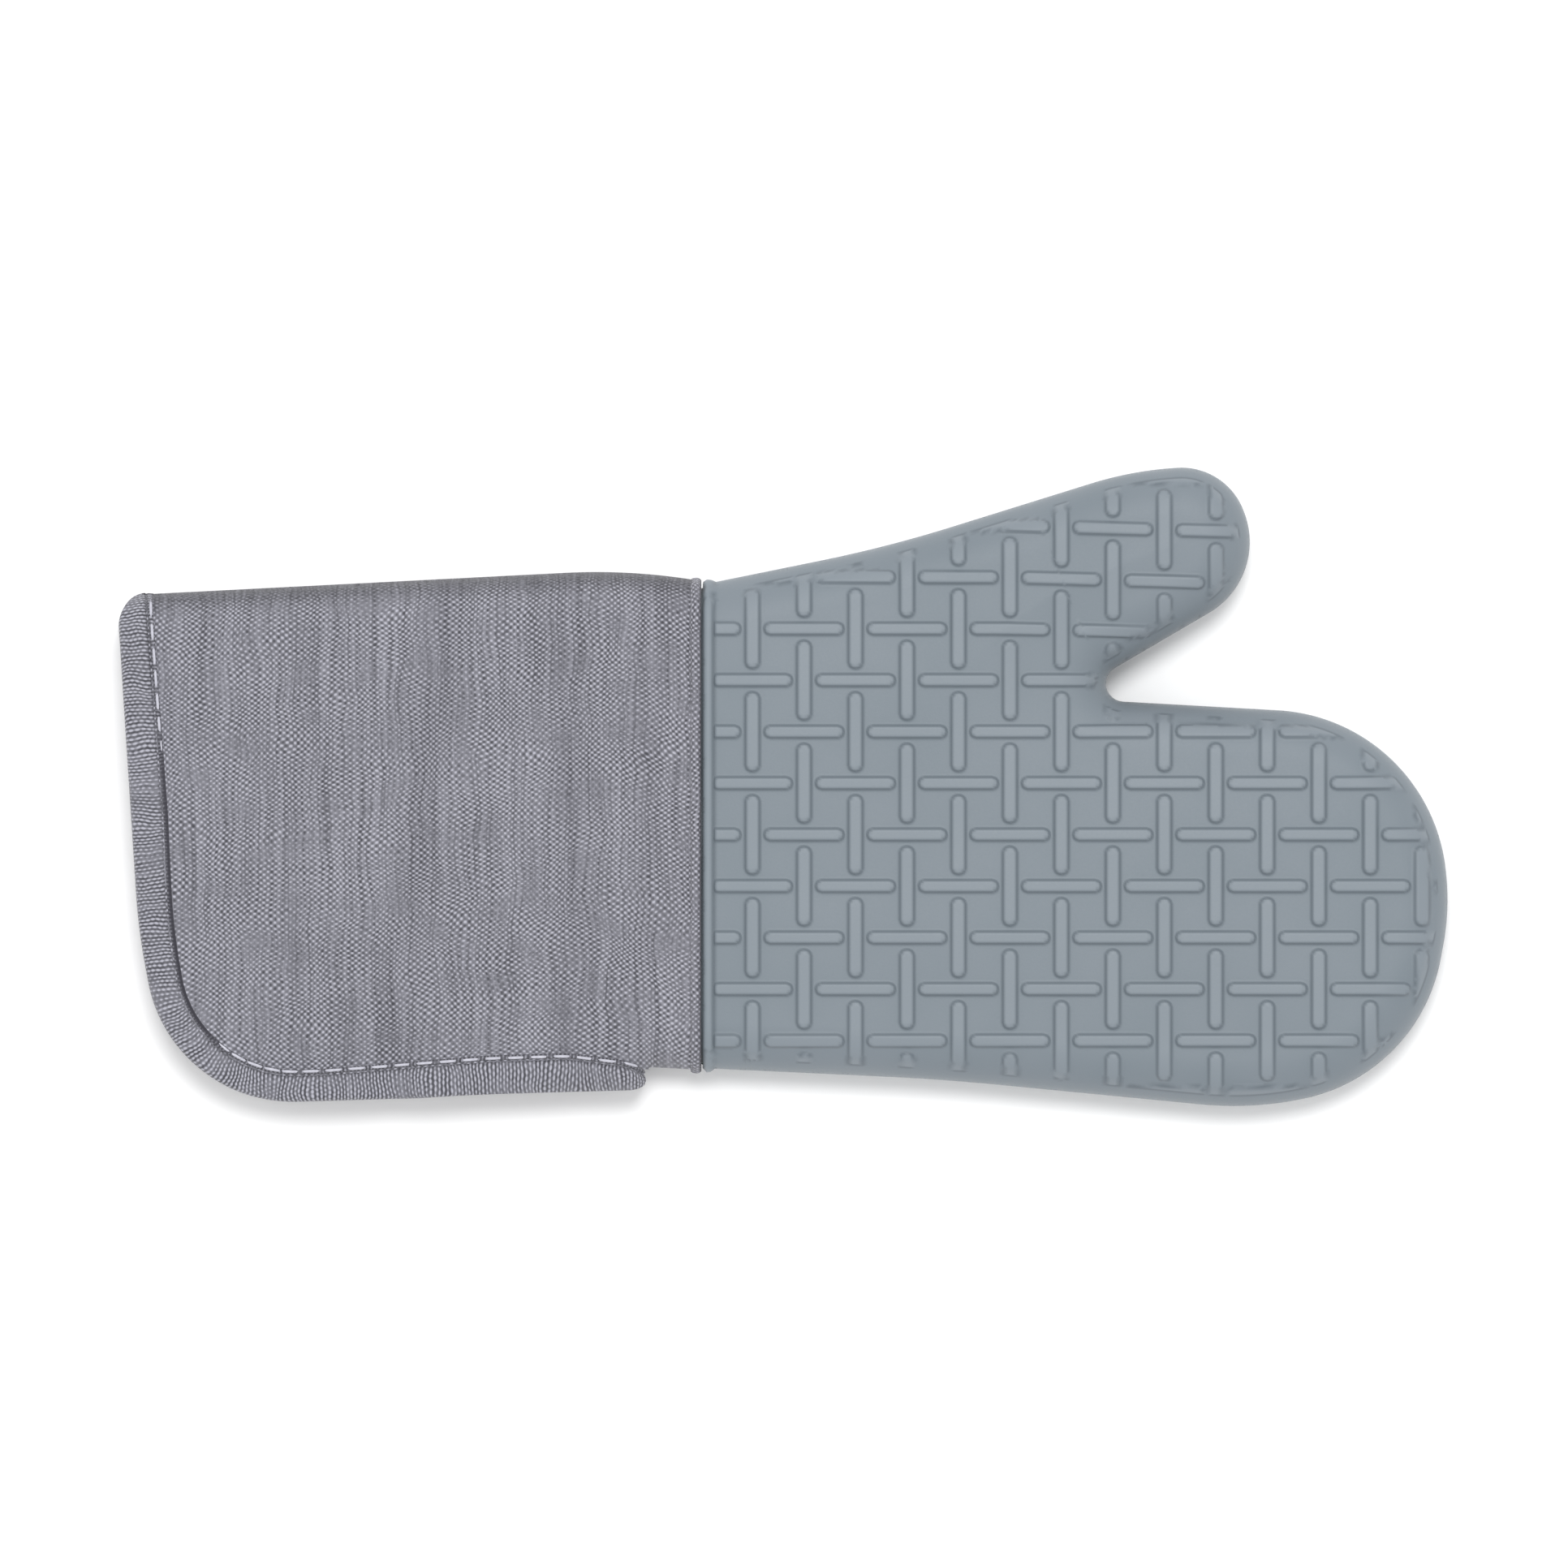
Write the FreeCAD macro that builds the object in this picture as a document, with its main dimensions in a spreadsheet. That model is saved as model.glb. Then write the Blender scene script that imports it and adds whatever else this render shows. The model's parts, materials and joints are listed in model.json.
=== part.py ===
"""Oven mitt: a ribbed silicone hand over a quilted liner, sewn to a bound fabric cuff.

Frame, in millimetres: +X runs from the cuff's mouth to the fingertips, +Y to the thumb side and +Z up.
The mitt lies flat on a table, and the origin is on the table under the middle of its outline.
"""
import FreeCAD, Part

import math
import os

# The driving dimensions. A "depth" is counted inwards from the outer skin of the hand or the cuff.
DIMENSIONS = {
    "thickness": 27.0,  # of the lying mitt, from skin to skin
    "rim_radius": 13.0,  # of the rolled-over edges, at the skin
    "proud": -0.8,  # depth of what stands out from the skin: ribs, bead, binding and seam roll
    "skin": 0.0,
    "silicone_back": 2.0,
    "wadding_front": 2.2,
    "wadding_back": 5.2,
    "liner_front": 5.4,
    "liner_back": 6.1,
    "cloth_back": 0.8,
    "cuff_wadding_front": 1.0,
    "cuff_wadding_back": 3.6,
    "cuff_liner_front": 3.8,
    "cuff_liner_back": 4.5,
    "binding_back": 5.3,
    "binding_width": 8.5,
    "binding_fold": 0.8,  # tape thickness round the raw edge
    "tube_start": -36.2,  # X where the little-finger side stops being open
    "roll_start": -25.0,  # X where the rolled fabric rim at the seam starts
    "cuff_end": -22.1,
    "hand_start": -21.7,
    "bead_end": -18.9,
    "knuckles": 111.0,  # X of the line that the finger pocket bends about
    "joint_gap": 0.3,
    "crotch_along": 85.9,  # X and Y of the bottom of the notch beside the thumb
    "crotch_across": 27.8,
    "thumb_lean": 22.7,  # degrees from +X to the thumb's own length
    "rib_pitch": 13.76,
    "rib_length": 21.4,
    "rib_width": 3.5,
    "rib_margin": 3.5,  # from the outline to where the ribs stop
    "rib_first_along": -8.0,  # X and Y of the lattice's first crossing
    "rib_first_across": 42.6,
    "stitch_pitch": 4.5,
    "stitch_length": 3.3,
    "stitch_width": 0.7,
    "stitch_height": 0.3,
    "stitch_inset": 7.4,  # from the bound edge to its row of stitches
}

# Corners of each outline as (X, Y, radius). Each runs on past its seam, where a box cuts it off.
HAND = [
    (-60.0, 46.3, 0.0),
    (27.5, 64.1, 356.2),
    (92.9, 84.5, 96.9),
    (118.2, 86.2, 17.7),
    (129.7, 55.9, 22.0),
    (74.7, 23.7, 4.8),
    (172.4, 18.2, 47.7),
    (178.1, -32.7, 66.1),
    (169.7, -77.2, 46.9),
    (124.9, -86.2, 90.4),
    (42.2, -78.2, 600.0),
    (-60.0, -73.4, 0.0),
]
CUFF_FOLD = [(-40.0, 57.4, 30.0), (10.0, 50.6, 0.0)]
CUFF_TUBE = [(-60.0, 56.4, 0.0)] + CUFF_FOLD + [(10.0, -76.6, 0.0), (-60.0, -75.6, 0.0)]
CUFF_LEAVES = [(-220.0, 48.6, 0.0)] + CUFF_FOLD + [(10.0, -120.0, 0.0), (-220.0, -120.0, 0.0)]
# The cuff's bound edge: the mouth, a round corner and the open little-finger side.
BOUND_EDGE = [(-180.05, 90.0, 0.0), (-168.5, -85.2, 40.0), (-36.2, -81.2, 0.0), (-36.2, 90.0, 0.0)]
BOUND_EDGE_RUN_ON = BOUND_EDGE[:2] + [(10.0, -79.7, 0.0), (10.0, 90.0, 0.0)]

REACH = 400.0  # larger than the mitt, for the boxes that cut it
THUMB_BOX = 100.0  # larger than the thumb
LEVEL = 0.9  # least upward part of a flat face's normal
FOLD_ROOM = 50.0  # how far the row of stitches keeps below the top of the bound edge's run


def shifted_corners(corners, inset):
    """The corners with every side moved inwards by inset, and each radius changed to suit."""
    points = [FreeCAD.Vector(x, y, 0) for x, y, radius in corners]
    count = len(points)
    turns = []
    for k in range(count):
        before = points[k] - points[k - 1]
        after = points[(k + 1) % count] - points[k]
        turns.append(before.x * after.y - before.y * after.x)
    winding = math.copysign(1.0, sum(p.x * q.y - p.y * q.x for p, q in zip(points, points[1:] + points[:1])))
    shifted = []
    for k, (x, y, radius) in enumerate(corners):
        along = (points[k] - points[k - 1]).normalize()
        onward = (points[(k + 1) % count] - points[k]).normalize()
        normal = FreeCAD.Vector(-along.y, along.x, 0) * winding
        next_normal = FreeCAD.Vector(-onward.y, onward.x, 0) * winding
        middle = normal + next_normal
        corner = points[k] + middle * (2 * inset / middle.dot(middle))
        outward = turns[k] * winding > 0
        new_radius = 0.0 if radius == 0 else radius - inset if outward else radius + inset
        shifted.append((corner.x, corner.y, new_radius))
    return shifted


def outline_curves(corners, inset=0.0):
    """The closed outline as lines and the arcs that round its corners."""
    corners = shifted_corners(corners, inset)
    count = len(corners)
    ends = []
    arcs = []
    for k, (x, y, radius) in enumerate(corners):
        corner = FreeCAD.Vector(x, y, 0)
        back = (FreeCAD.Vector(*corners[k - 1][:2], 0) - corner).normalize()
        forth = (FreeCAD.Vector(*corners[(k + 1) % count][:2], 0) - corner).normalize()
        half_angle = back.getAngle(forth) / 2
        trim = radius / math.tan(half_angle)
        start = corner + back * trim
        end = corner + forth * trim
        ends.append((start, end))
        if radius > 0:
            bisector = (back + forth).normalize()
            centre = corner + bisector * (radius / math.sin(half_angle))
            arcs.append(Part.Arc(start, centre - bisector * radius, end))
        else:
            arcs.append(None)
    curves = []
    for k in range(count):
        if arcs[k]:
            curves.append(arcs[k])
        curves.append(Part.LineSegment(ends[k][1], ends[(k + 1) % count][0]))
    return curves


def outline_face(corners, inset=0.0):
    return Part.Face(Part.Wire([curve.toShape() for curve in outline_curves(corners, inset)]))


def add_sheet(doc):
    """The spreadsheet of driving dimensions."""
    sheet = doc.addObject("Spreadsheet::Sheet", "Dimensions")
    for row, (name, value) in enumerate(DIMENSIONS.items(), start=1):
        sheet.set(f"A{row}", name)
        sheet.set(f"B{row}", str(value))
        sheet.setAlias(f"B{row}", name)
    doc.recompute()
    return sheet


def cell(name):
    return f"Dimensions.{name}"


def add_pillow(doc, sheet, outline_name, corners, depth):
    """A cushion shape: the outline drawn in by a depth, padded, with both its rims rounded."""
    name = f"{outline_name}_{depth}"
    body = doc.addObject("PartDesign::Body", name)
    sketch = body.newObject("Sketcher::SketchObject", name + "_outline")
    plane = next(feature for feature in body.Origin.OriginFeatures if feature.Role == "XY_Plane")
    sketch.AttachmentSupport = [(plane, "")]
    sketch.MapMode = "FlatFace"
    sketch.addGeometry(outline_curves(corners, sheet.get(depth)))
    sketch.setExpression("AttachmentOffset.Base.z", f"{cell(depth)} - {cell('proud')}")
    pad = body.newObject("PartDesign::Pad", name + "_pad")
    pad.Profile = sketch
    pad.setExpression("Length", f"{cell('thickness')} - 2 * {cell(depth)}")
    doc.recompute()
    rims = [f"Face{k}" for k, face in enumerate(pad.Shape.Faces, start=1) if abs(face.normalAt(0, 0).z) > LEVEL]
    rounding = body.newObject("PartDesign::Fillet", name + "_rims")
    rounding.Base = (pad, rims)
    rounding.setExpression("Radius", f"{cell('rim_radius')} - {cell(depth)}")
    body.Tip = rounding
    return body


def combine(doc, kind, name, base, tool):
    """A Part::Cut or Part::Common of two objects."""
    result = doc.addObject("Part::" + kind, name)
    result.Base = base
    result.Tool = tool
    return result


def fuse(doc, name, shapes):
    result = doc.addObject("Part::MultiFuse", name)
    result.Shapes = shapes
    return result


def add_layer(doc, pillows, name, front, back):
    """The shell between two pillows of one outline."""
    return combine(doc, "Cut", name, pillows[front], pillows[back])


def add_slab(doc, name, start, end):
    """A box as deep and wide as the mitt, between two X positions given as expressions."""
    box = doc.addObject("Part::Box", name)
    box.setExpression("Length", f"({end}) - ({start})")
    box.Width = REACH
    box.Height = REACH
    box.setExpression("Placement.Base.x", start)
    box.setExpression("Placement.Base.y", f"-{REACH / 2}")
    box.setExpression("Placement.Base.z", f"-{REACH / 2}")
    return box


def add_thumb_box(doc, name, growth):
    """A box over the thumb alone, from the root line outwards, with the notch's end as its corner."""
    box = doc.addObject("Part::Box", name)
    box.Length = THUMB_BOX
    box.Width = THUMB_BOX
    box.Height = THUMB_BOX
    box.setExpression("Placement.Rotation.Yaw", cell("thumb_lean"))
    shift = f"{growth} * {cell('joint_gap')}"
    box.setExpression("Placement.Base.x", f"{cell('crotch_along')} - {shift} * cos({cell('thumb_lean')})")
    box.setExpression("Placement.Base.y", f"{cell('crotch_across')} - {shift} * sin({cell('thumb_lean')})")
    box.setExpression("Placement.Base.z", f"-{THUMB_BOX / 2}")
    return box


def add_prism(doc, name, face):
    """A plan shape drawn up through the whole mitt."""
    prism = doc.addObject("Part::Feature", name)
    prism.Shape = face.extrude(FreeCAD.Vector(0, 0, REACH))
    prism.Placement = FreeCAD.Placement(FreeCAD.Vector(0, 0, -REACH / 2), FreeCAD.Rotation())
    return prism


def rib_face(centre, direction, length, width):
    """One rib in plan: straight sides and round ends."""
    side = FreeCAD.Vector(-direction.y, direction.x, 0) * (width / 2)
    tip = direction * (length / 2)
    shoulder = direction * (length / 2 - width / 2)
    sides = [
        Part.LineSegment(centre - shoulder + side, centre + shoulder + side),
        Part.Arc(centre + shoulder + side, centre + tip, centre + shoulder - side),
        Part.LineSegment(centre + shoulder - side, centre - shoulder - side),
        Part.Arc(centre - shoulder - side, centre - tip, centre - shoulder + side),
    ]
    return Part.Face(Part.Wire([piece.toShape() for piece in sides]))


def add_ribs(doc, sheet):
    """The basket pattern of ribs: at each lattice crossing one rib, along X and along Y by turns."""
    field = outline_face(HAND, sheet.rib_margin)
    wrist_side = Part.makePlane(REACH, REACH, FreeCAD.Vector(sheet.bead_end - REACH, -REACH / 2, 0))
    field = field.cut(wrist_side)
    span = int(REACH / 2 / sheet.rib_pitch)
    faces = []
    for column in range(-1, span):
        for row in range(-span, span):
            x = sheet.rib_first_along + sheet.rib_pitch * column
            y = sheet.rib_first_across - sheet.rib_pitch * row
            direction = FreeCAD.Vector(0, 1, 0) if (column + row) % 2 == 0 else FreeCAD.Vector(1, 0, 0)
            rib = rib_face(FreeCAD.Vector(x, y, 0), direction, sheet.rib_length, sheet.rib_width)
            faces += rib.common(field).Faces
    return add_prism(doc, "rib_prisms", Part.Compound(faces))


def add_hand_sections(doc, layer, node):
    """One layer of the hand, cut into its palm, finger and thumb nodes."""
    in_palm = combine(doc, "Common", node + "_before_thumb", layer, doc.palm_slab)
    palm = combine(doc, "Cut", "palm_" + node, in_palm, doc.thumb_gap_box)
    beyond = combine(doc, "Common", node + "_beyond_knuckles", layer, doc.finger_slab)
    fingers = combine(doc, "Cut", "finger_" + node, beyond, doc.thumb_gap_box)
    thumb = combine(doc, "Common", "thumb_" + node, layer, doc.thumb_box)
    return [palm, fingers, thumb]


def add_hand(doc, sheet):
    """The silicone shell with its ribs and bead, the wadding and the liner, each in three sections."""
    depths = ["proud", "skin", "silicone_back", "wadding_front", "wadding_back", "liner_front", "liner_back"]
    pillows = {depth: add_pillow(doc, sheet, "hand", HAND, depth) for depth in depths}
    half_gap = f"{cell('joint_gap')} / 2"
    add_slab(doc, "palm_slab", cell("hand_start"), f"{cell('knuckles')} - {half_gap}")
    add_slab(doc, "finger_slab", f"{cell('knuckles')} + {half_gap}", f"{REACH}")
    add_slab(doc, "bead_slab", cell("hand_start"), cell("bead_end"))
    add_thumb_box(doc, "thumb_box", 0)
    add_thumb_box(doc, "thumb_gap_box", 1)
    ribs = combine(doc, "Common", "ribs", pillows["proud"], add_ribs(doc, sheet))
    bead = combine(doc, "Common", "bead", pillows["proud"], doc.bead_slab)
    ribbed = fuse(doc, "ribbed_hand", [pillows["skin"], ribs, bead])
    shell = combine(doc, "Cut", "shell", ribbed, pillows["silicone_back"])
    wadding = add_layer(doc, pillows, "wadding", "wadding_front", "wadding_back")
    liner = add_layer(doc, pillows, "liner", "liner_front", "liner_back")
    nodes = add_hand_sections(doc, shell, "shell")
    nodes += add_hand_sections(doc, wadding, "batting")
    nodes += add_hand_sections(doc, liner, "lining")
    return nodes


def add_cuff_layer(doc, leaves, tube, node, front, back):
    """One layer of the cuff: two open leaves by the mouth, and the closed tube by the seam."""
    leaf = combine(doc, "Common", node + "_leaves", add_layer(doc, leaves, node + "_leaf_shell", front, back),
                   doc.leaf_plan)
    ring = combine(doc, "Common", node + "_ring", add_layer(doc, tube, node + "_tube_shell", front, back),
                   doc.tube_slab)
    return fuse(doc, node, [leaf, ring])


def add_stitches(doc, sheet):
    """The row of topstitches, sunk into the binding of the upper and of the lower leaf."""
    row = Part.Wire([curve.toShape() for curve in outline_curves(BOUND_EDGE, sheet.stitch_inset)])
    fold_limit = BOUND_EDGE[0][1] - FOLD_ROOM
    top = sheet.thickness - 2 * sheet.proud
    stitches = []
    points = row.discretize(Distance=sheet.stitch_pitch)
    for point, onward in zip(points, points[1:]):
        direction = onward - point
        past_tube = max(point.x, onward.x) > sheet.tube_start - sheet.stitch_inset - sheet.stitch_pitch
        if past_tube or max(point.y, onward.y) > fold_limit:
            continue
        turn = FreeCAD.Rotation(FreeCAD.Vector(1, 0, 0), direction)
        for level in (0.0, top - sheet.stitch_height):
            stitch = Part.makeBox(sheet.stitch_length, sheet.stitch_width, sheet.stitch_height,
                                  FreeCAD.Vector(0, -sheet.stitch_width / 2, 0))
            stitch.Placement = FreeCAD.Placement(point + FreeCAD.Vector(0, 0, level), turn)
            stitches.append(stitch)
    thread = doc.addObject("Part::Feature", "edge_topstitch")
    thread.Shape = Part.Compound(stitches)
    return thread


def add_binding(doc, sheet, leaves, thread):
    """Tape folded over the bound edge of both leaves, with the topstitches let into it."""
    band = outline_face(BOUND_EDGE).cut(outline_face(BOUND_EDGE_RUN_ON, sheet.binding_width))
    tape = combine(doc, "Common", "tape_block", add_layer(doc, leaves, "tape_shell", "proud", "binding_back"),
                   add_prism(doc, "tape_plan", band))
    wrapped = combine(doc, "Common", "wrapped_leaves",
                      add_layer(doc, leaves, "wrapped_shell", "skin", "cuff_liner_back"), doc.leaf_plan)
    folded = combine(doc, "Cut", "folded_tape", tape, wrapped)
    return combine(doc, "Cut", "edge_binding", folded, thread)


def add_cuff(doc, sheet):
    """The folded fabric cuff: cloth, wadding, lining, edge binding, topstitches and seam roll."""
    depths = ["proud", "skin", "cloth_back", "cuff_wadding_front", "cuff_wadding_back", "cuff_liner_front",
              "cuff_liner_back"]
    tube = {depth: add_pillow(doc, sheet, "tube", CUFF_TUBE, depth) for depth in depths}
    leaf_depths = depths + ["binding_back"]
    leaves = {depth: add_pillow(doc, sheet, "leaf", CUFF_LEAVES, depth) for depth in leaf_depths}
    add_slab(doc, "tube_slab", cell("tube_start"), cell("cuff_end"))
    add_slab(doc, "roll_slab", cell("roll_start"), cell("cuff_end"))
    plan = outline_face(BOUND_EDGE_RUN_ON, sheet.binding_fold)
    past_leaves = Part.makePlane(REACH, REACH, FreeCAD.Vector(sheet.tube_start, -REACH / 2, 0))
    add_prism(doc, "leaf_plan", plan.cut(past_leaves))
    cloth = add_cuff_layer(doc, leaves, tube, "cuff_cloth", "skin", "cloth_back")
    wadding = add_cuff_layer(doc, leaves, tube, "cuff_batting", "cuff_wadding_front", "cuff_wadding_back")
    lining = add_cuff_layer(doc, leaves, tube, "cuff_lining", "cuff_liner_front", "cuff_liner_back")
    thread = add_stitches(doc, sheet)
    binding = add_binding(doc, sheet, leaves, thread)
    roll_shell = add_layer(doc, tube, "roll_shell", "proud", "skin")
    roll = combine(doc, "Common", "seam_roll", roll_shell, doc.roll_slab)
    return [cloth, wadding, lining, thread, binding, roll]


def write_parts(doc, nodes):
    """Checks every object, then writes each sub-part's shape under its own name."""
    failed = [item.Name for item in doc.Objects if "Invalid" in item.State or "Error" in item.State]
    bad = [node.Name for node in nodes if node.Shape.isNull() or not node.Shape.isValid()]
    if failed or bad:
        raise RuntimeError(f"failed objects {failed}, bad shapes {bad}")
    os.makedirs("parts", exist_ok=True)
    for node in nodes:
        node.Label = node.Name
        node.Shape.exportStep(f"parts/{node.Label}.step")
        box = node.Shape.BoundBox
        print(f"{node.Label}: {len(node.Shape.Solids)} solids, {node.Shape.Volume:.0f} mm3, "
              f"X {box.XMin:.1f} {box.XMax:.1f} Y {box.YMin:.1f} {box.YMax:.1f} Z {box.ZMin:.2f} {box.ZMax:.2f}")


def main():
    doc = FreeCAD.newDocument("OvenMitt")
    sheet = add_sheet(doc)
    nodes = add_hand(doc, sheet) + add_cuff(doc, sheet)
    doc.recompute()
    write_parts(doc, nodes)


main()
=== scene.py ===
"""Oven mitt lying flat: a ribbed silicone hand and a padded, bound fabric cuff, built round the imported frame.

Shapes are worked out in millimetres, in the row frame, and put into meshes in metres.
"""
import json
import math

import bpy
import numpy as np
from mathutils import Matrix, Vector
from mathutils.geometry import delaunay_2d_cdt


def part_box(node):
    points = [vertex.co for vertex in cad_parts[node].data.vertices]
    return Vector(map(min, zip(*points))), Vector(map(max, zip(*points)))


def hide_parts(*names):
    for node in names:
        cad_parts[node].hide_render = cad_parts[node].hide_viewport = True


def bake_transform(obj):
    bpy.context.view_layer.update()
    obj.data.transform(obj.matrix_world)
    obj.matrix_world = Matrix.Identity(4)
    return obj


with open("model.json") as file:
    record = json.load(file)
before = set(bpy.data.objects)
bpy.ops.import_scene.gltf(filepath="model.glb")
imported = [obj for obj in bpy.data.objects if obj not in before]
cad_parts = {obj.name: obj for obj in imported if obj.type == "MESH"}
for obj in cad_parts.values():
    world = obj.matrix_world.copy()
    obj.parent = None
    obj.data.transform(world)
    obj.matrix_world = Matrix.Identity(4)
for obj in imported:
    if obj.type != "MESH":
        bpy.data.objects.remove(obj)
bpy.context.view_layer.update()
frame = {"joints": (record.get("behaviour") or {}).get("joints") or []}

MM = 0.001
TOUCHING = 1e-3  # points nearer than this to a line are on it

JOINTS = {joint["name"]: joint for joint in frame["joints"]}
SKIN_LOW, SKIN_HIGH = (corner[2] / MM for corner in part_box("cuff_cloth"))
CUFF_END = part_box("cuff_cloth")[1][0] / MM
HAND_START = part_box("palm_shell")[0][0] / MM
MIDDLE = (SKIN_LOW + SKIN_HIGH) / 2
HALF_DEPTH = (SKIN_HIGH - SKIN_LOW) / 2
THUMB_ROOT = np.array(JOINTS["thumb_flex"]["pos_m"][:2]) / MM
THUMB_AXIS = np.array(JOINTS["thumb_flex"]["axis"][:2])
THUMB_OUT = np.array([-THUMB_AXIS[1], THUMB_AXIS[0]])
THUMB_FAR = THUMB_ROOT - THUMB_AXIS * 80  # on the thumb's root line, past the outline

# Corners of each outline as (X, Y, radius), running on past the seams.
HAND = [
    (-60.0, 46.3, 0.0),
    (27.5, 64.1, 356.2),
    (92.9, 84.5, 96.9),
    (118.2, 86.2, 17.7),
    (129.7, 55.9, 22.0),
    (74.7, 23.7, 4.8),
    (172.4, 18.2, 47.7),
    (178.1, -32.7, 66.1),
    (169.7, -77.2, 46.9),
    (124.9, -86.2, 90.4),
    (42.2, -78.2, 600.0),
    (-60.0, -73.4, 0.0),
]
CUFF = [
    (10.0, -77.4, 0.0),
    (-36.2, -74.9, 0.6),
    (-36.2, -81.4, 5.0),
    (-163.7, -85.2, 39.5),
    (-172.6, -38.4, 167.5),
    (-178.4, 51.1, 7.7),
    (-37.6, 58.3, 164.5),
    (10.0, 48.5, 0.0),
]
MOUTH_CORNER = CUFF[5]
TAB_END = CUFF[2][0] - 0.1
# The bound edge with square ends, from the tab round the corner to the fold; the last corner only closes it.
BOUND = [
    (TAB_END, CUFF[2][1], 0.0),
    *CUFF[3:5],
    (*MOUTH_CORNER[:2], 0.0),
    (TAB_END, 90.0, 0.0),
]
GRID_END = (178, 90)  # grids over the hand run up to this X, and to this Y on both sides

RIM_RUN = 13.0  # how far in from the outline the surface still rises
RIM_POWER = 2.2  # 2 gives a round edge, more a squarer one
CROWN = 1.8  # how much the middle stands above the shoulders
CROWN_RUN = 45.0
SEAM_PINCH = 1.5
SEAM_PINCH_RUN = 14.0
LOW_PINCH = 0.3  # share of the pinch that the underside takes

RIB_PITCH = 13.76
RIB_FIRST = (-8.4, 42.25)
RIB_HALF = 8.95  # half the length of a rib's straight ridge
RIB_HEIGHT = SKIN_LOW  # so that the ribs underneath reach the ground
RIB_FLAT = 1.05  # half the width of its top
RIB_REACH = 2.2  # half the width of its foot
UPRIGHT_WIDTH = 1.16  # the ribs across the hand are this much wider than those along it
RIB_MARGIN = 2.4  # how far in from the outline the ribs begin
BEAD_END = HAND_START + 2.8
BEAD_HEIGHT = 1.4  # in rib heights
THUMB_TILT = 0.026  # slope of the rib rows in the thumb
TILT_START = 60  # the X where they begin to lean
TILT_BAND = (28, 48)  # the lean grows between these Y

CLOTH_STEP = 1.8
# Soft folds across the cuff: X, width, depth, slant, and the Y where each is deepest.
FOLDS = [
    (-96.0, 6.5, 1.7, 0.10, 25.0),
    (-57.0, 6.0, 1.5, -0.04, -10.0),
    (-36.5, 4.0, 1.0, 0.02, 10.0),
    (-128.0, 8.0, 0.9, 0.12, -30.0),
]
LEAF_DEPTH = 4.1  # cloth, wadding and lining together
CLOSING = (-100.0, -40.0)  # the leaves come together between these X
TURN_RUN = 7.0  # the cloth is painted darker, as shade where it rolls over its fold, and is plainer this near to it
VENT_END = (-36.6, -34.6)  # the open side closes between these X
VENT_GAP = 5.4  # half the height between the leaves where the open side ends
# Width of the binding at distances along it from the tab.
TAPE_WIDTHS = [(0, 6.0), (6, 8.9), (21, 11.3), (43, 11.3), (87, 9.0), (135, 9.4), (195, 10.4), (250, 9.8)]
TAPE_LIFT = 0.45
# How far in from the tape's folded edge its seam lies, and the ridge between the two.
TAPE_SEAM = 2.0
TAPE_RIDGE = 1.1
TAB_RADIUS = CUFF[2][2]
FULL_ROW = 60  # a row across the tape where it is full and even
THREAD_PITCH = (0.94, 0.76)  # of the cuff cloth, along and round the cuff
# Depths under the silicone's surface.
HAND_WADDING_TOP = 2.4
HAND_LINING_TOP = 5.6
HAND_WADDING = 2.6  # thickness


def smooth(t):
    t = np.clip(t, 0.0, 1.0)
    return t * t * (3 - 2 * t)


def blur_step(value, low, high):
    return smooth((value - low) / (high - low))


def bell(value, middle, width):
    return np.exp(-(((value - middle) / width) ** 2))


def unit(vectors):
    """Rows of vectors made one long."""
    return vectors / np.maximum(np.linalg.norm(vectors, axis=-1, keepdims=True), 1e-12)


def shifted(corners, inset):
    """The corners of an outline with every side moved inwards, and each radius changed to suit."""
    points = np.array([corner[:2] for corner in corners])
    radii = np.array([corner[2] for corner in corners])
    along = unit(points - np.roll(points, 1, axis=0))
    onward = np.roll(along, -1, axis=0)
    following = np.roll(points, -1, axis=0)
    winding = np.sign(np.sum(points[:, 0] * following[:, 1] - points[:, 1] * following[:, 0]))
    normals = np.stack([-along[:, 1], along[:, 0]], axis=1) * winding
    middle = normals + np.roll(normals, -1, axis=0)
    moved = points + middle * (2 * inset / np.sum(middle**2, axis=1))[:, None]
    turns = (along[:, 0] * onward[:, 1] - along[:, 1] * onward[:, 0]) * winding
    new_radii = np.where(radii == 0, 0.0, np.where(turns > 0, radii - inset, radii + inset))
    return [(x, y, r) for (x, y), r in zip(moved, new_radii)]


def outline(corners, step, inset=0.0):
    """Points along the closed outline, about a step apart, with the corners rounded by arcs."""
    corners = shifted(corners, inset)
    count = len(corners)
    stretches = []
    for k, (x, y, radius) in enumerate(corners):
        corner = np.array([x, y])
        back = np.array(corners[k - 1][:2]) - corner
        forth = np.array(corners[(k + 1) % count][:2]) - corner
        back /= np.linalg.norm(back)
        forth /= np.linalg.norm(forth)
        half = math.acos(np.clip(back @ forth, -1, 1)) / 2
        trim = radius / math.tan(half)
        if radius <= 0:
            stretches.append(corner[None])
            continue
        bisector = (back + forth) / np.linalg.norm(back + forth)
        centre = corner + bisector * radius / math.sin(half)
        start = math.atan2(*(corner + back * trim - centre)[::-1])
        end = math.atan2(*(corner + forth * trim - centre)[::-1])
        sweep = (end - start + math.pi) % (2 * math.pi) - math.pi
        angles = start + sweep * np.linspace(0, 1, max(4, math.ceil(abs(sweep) * radius / step)) + 1)
        stretches.append(centre + radius * np.stack([np.cos(angles), np.sin(angles)], axis=1))
    points = []
    for stretch, following in zip(stretches, stretches[1:] + stretches[:1]):
        gap = following[0] - stretch[-1]
        pieces = max(1, round(np.linalg.norm(gap) / step))
        shares = np.arange(1, pieces) / pieces
        points += [stretch, stretch[-1] + shares[:, None] * gap]
    return np.concatenate(points)


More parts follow.
